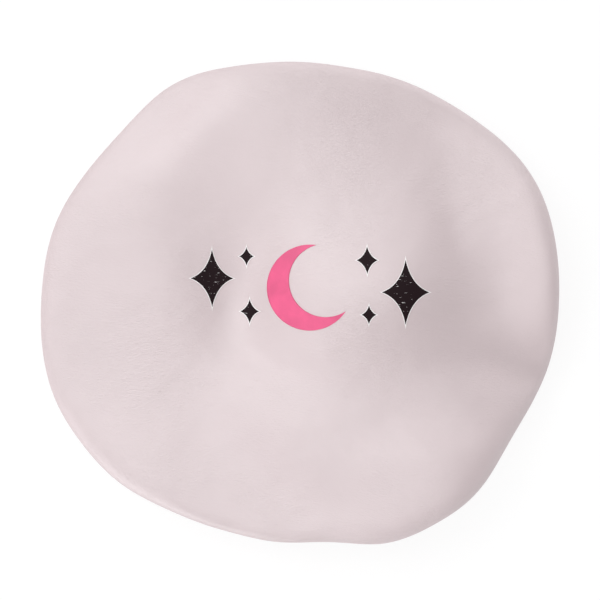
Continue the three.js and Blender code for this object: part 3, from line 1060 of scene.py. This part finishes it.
def star_line(tall, wide, waist, steps):
    """Outline of a four-pointed star with hollow sides, for shares of the way round."""
    tips = np.array([[wide, 0], [0, tall], [-wide, 0], [0, -tall], [wide, 0]]) * MM
    side = np.minimum(np.floor(steps * 4).astype(int), 3)
    t = (steps * 4 - side)[:, None]
    start, end = tips[side], tips[side + 1]
    return (1 - t) ** 2 * start + 2 * t * (1 - t) * (start + end) * waist + t**2 * end


class SLEEPCAP_OT_print(bpy.types.Operator):
    """Crescent and stars of transfer film on the crown"""

    bl_idname = "sleepcap.print"
    bl_label = "Print"

    def execute(self, context):
        shape, finish = context.scene.cap_print, context.scene.cap_finish
        crown_piece = bpy.data.objects["crown"]
        faces = [list(face.vertices) for face in crown_piece.data.polygons]
        crown = BVHTree.FromPolygons(points_of(crown_piece).tolist(), faces)
        middle = np.array([shape.place_x, shape.place_y])
        pink = film_material("pink_film", finish.pink)
        black = brushed_film_material("black_film", finish.black, finish.keyline, shape.keyline)
        around = np.linspace(0, 1, FILM_OUTLINE)
        moon, share = grid("moon", columns=90, rows=14)
        outer, inner = crescent_lines(shape, share[:, 0])
        plan = outer + (inner - outer) * share[:, 1:]
        outline = np.vstack(crescent_lines(shape, around))
        lay_film(moon, plan + middle, from_edge(plan, outline), crown, shape.film)
        finish_piece(moon, "print_pink", pink, "print_moon")
        for i, (x, y, tall, wide) in enumerate(STARS):
            star, share = grid(f"star_{i + 1}", columns=96, rows=12)
            out = 1 - (1 - share[:, 1:]) ** STAR_CROWDING
            plan = out * star_line(tall, wide, shape.star_waist, share[:, 0])
            outline = star_line(tall, wide, shape.star_waist, around)
            place = middle + np.array([x, y]) * MM
            lay_film(star, plan + place, from_edge(plan, outline), crown, shape.film)
            finish_piece(star, "print_black", black, f"print_star_{i + 1}")
        return {"FINISHED"}


# Stage


class SLEEPCAP_OT_stage(bpy.types.Operator):
    """Floor, soft light and the camera straight above"""

    bl_idname = "sleepcap.stage"
    bl_label = "Stage"

    def execute(self, context):
        stage = context.scene.cap_stage
        self.floor(stage)
        self.light(stage)
        self.camera(context, stage)
        context.scene.view_settings.view_transform = "Standard"
        return {"FINISHED"}

    def floor(self, stage):
        deselect()
        bpy.ops.mesh.primitive_plane_add(size=6, location=(0, 0, 0))
        floor = bpy.context.object
        floor.name = "floor"
        s = Shader("white_floor")
        s.set(Base_Color=(stage.floor, stage.floor, stage.floor, 1), Roughness=0.9, Specular_IOR_Level=0.1)
        rays = s.node("ShaderNodeLightPath")
        seen = s.node("ShaderNodeMath", operation="MAXIMUM")
        s.link(rays.outputs["Is Camera Ray"], seen.inputs[0])
        s.link(rays.outputs["Is Glossy Ray"], seen.inputs[1])
        share = s.node("ShaderNodeMath", operation="MULTIPLY")
        share.inputs[1].default_value = stage.glow_share
        s.link(seen.outputs[0], share.inputs[0])
        glow = s.node("ShaderNodeEmission", Strength=stage.glow)
        mix = s.node("ShaderNodeMixShader")
        s.link(share.outputs[0], mix.inputs["Fac"])
        s.link(s.surface.outputs["BSDF"], mix.inputs[1])
        s.link(glow.outputs["Emission"], mix.inputs[2])
        s.link(mix.outputs["Shader"], s.tree.nodes["Material Output"].inputs["Surface"])
        floor.data.materials.append(s.material)

    def light(self, stage):
        world = bpy.data.worlds.new("soft_room")
        world.use_nodes = True
        tree = world.node_tree
        room = tree.nodes["Background"]
        room.inputs["Color"].default_value = (1, 1, 1, 1)
        self.tent(tree, room, stage)
        white = tree.nodes.new("ShaderNodeBackground")
        rays = tree.nodes.new("ShaderNodeLightPath")
        mix = tree.nodes.new("ShaderNodeMixShader")
        tree.links.new(rays.outputs["Is Camera Ray"], mix.inputs["Fac"])
        tree.links.new(room.outputs["Background"], mix.inputs[1])
        tree.links.new(white.outputs["Background"], mix.inputs[2])
        tree.links.new(mix.outputs["Shader"], tree.nodes["World Output"].inputs["Surface"])
        white.inputs["Color"].default_value = (1, 1, 1, 1)
        bpy.context.scene.world = world
        key = self.around(stage.key_bearing, stage.key_height) * stage.key_distance
        low = self.around(stage.low_bearing, stage.low_height) * stage.key_distance
        self.lamp("key_light", key, stage.key, stage.key_size)
        self.lamp("low_light", low, stage.low, stage.key_size)
        above = Vector((0, 0, stage.overhead_height))
        self.lamp("overhead_light", above, stage.overhead, stage.overhead_size)

    def around(self, bearing, height):
        """Direction from the cap, from a bearing and a height as angles."""
        level = Vector((math.cos(bearing), math.sin(bearing), 0)) * math.cos(height)
        return level + Vector((0, 0, math.sin(height)))

    def tent(self, tree, room, stage):
        """A pale room with bright walls behind and before the cap."""
        direction = tree.nodes.new("ShaderNodeTexCoord")
        parts = tree.nodes.new("ShaderNodeSeparateXYZ")
        level = tree.nodes.new("ShaderNodeMapRange")
        level.inputs["From Max"].default_value = stage.wall_top
        level.inputs["To Min"].default_value = stage.walls
        level.inputs["To Max"].default_value = stage.fill
        tree.links.new(direction.outputs["Generated"], parts.inputs["Vector"])
        tree.links.new(parts.outputs["Z"], level.inputs["Value"])
        total = level.outputs["Result"]
        for side, strength in ((1, stage.back_wall), (-1, stage.front_wall)):
            facing = tree.nodes.new("ShaderNodeMath")
            facing.operation = "MULTIPLY"
            facing.use_clamp = True
            facing.inputs[1].default_value = side
            tree.links.new(parts.outputs["Y"], facing.inputs[0])
            added = tree.nodes.new("ShaderNodeMath")
            added.operation = "MULTIPLY_ADD"
            added.inputs[1].default_value = strength
            tree.links.new(facing.outputs[0], added.inputs[0])
            tree.links.new(total, added.inputs[2])
            total = added.outputs[0]
        tree.links.new(total, room.inputs["Strength"])

    def lamp(self, name, place, power, size):
        bpy.ops.object.light_add(type="AREA", location=place)
        lamp = bpy.context.object
        lamp.name = name
        lamp.data.shape = "DISK"
        lamp.data.energy = power
        lamp.data.size = size
        lamp.rotation_euler = (-place).to_track_quat("-Z", "Y").to_euler()

    def camera(self, context, stage):
        cloth = context.scene.cap_cloth
        data = bpy.data.cameras.new("above")
        data.lens = stage.lens
        distance = stage.view_width * stage.lens / data.sensor_width
        camera = bpy.data.objects.new("above", data)
        camera.location = (0, stage.view_shift, cloth.rim_height + distance)
        context.scene.collection.objects.link(camera)
        context.scene.camera = camera


OPERATORS = (
    SLEEPCAP_OT_crown,
    SLEEPCAP_OT_lining,
    SLEEPCAP_OT_casing,
    SLEEPCAP_OT_elastic,
    SLEEPCAP_OT_stitching,
    SLEEPCAP_OT_print,
    SLEEPCAP_OT_stage,
)


class SLEEPCAP_PT_panel(bpy.types.Panel):
    """Lists the cap's pieces"""

    bl_idname = "SLEEPCAP_PT_panel"
    bl_label = "Sleep Cap"
    bl_space_type = "VIEW_3D"
    bl_region_type = "UI"
    bl_category = "Sleep Cap"

    def draw(self, context):
        for operator in OPERATORS:
            self.layout.operator(operator.bl_idname, text=operator.bl_label)


SETTINGS = {
    "cap_cloth": CapCloth,
    "cap_band": CapBand,
    "cap_print": CapPrint,
    "cap_finish": CapFinish,
    "cap_stage": CapStage,
}


def register():
    for cls in (*SETTINGS.values(), *OPERATORS, SLEEPCAP_PT_panel):
        bpy.utils.register_class(cls)
    for name, group in SETTINGS.items():
        setattr(bpy.types.Scene, name, PointerProperty(type=group))


def unregister():
    for name in SETTINGS:
        delattr(bpy.types.Scene, name)
    for cls in reversed((*SETTINGS.values(), *OPERATORS, SLEEPCAP_PT_panel)):
        bpy.utils.unregister_class(cls)


def main():
    """Builds the cap and its stage."""
    register()
    bpy.ops.sleepcap.stage()
    bpy.ops.sleepcap.crown()
    bpy.ops.sleepcap.lining()
    bpy.ops.sleepcap.casing()
    bpy.ops.sleepcap.elastic()
    bpy.ops.sleepcap.stitching()
    bpy.ops.sleepcap.print()


if __name__ == "__main__":
    main()
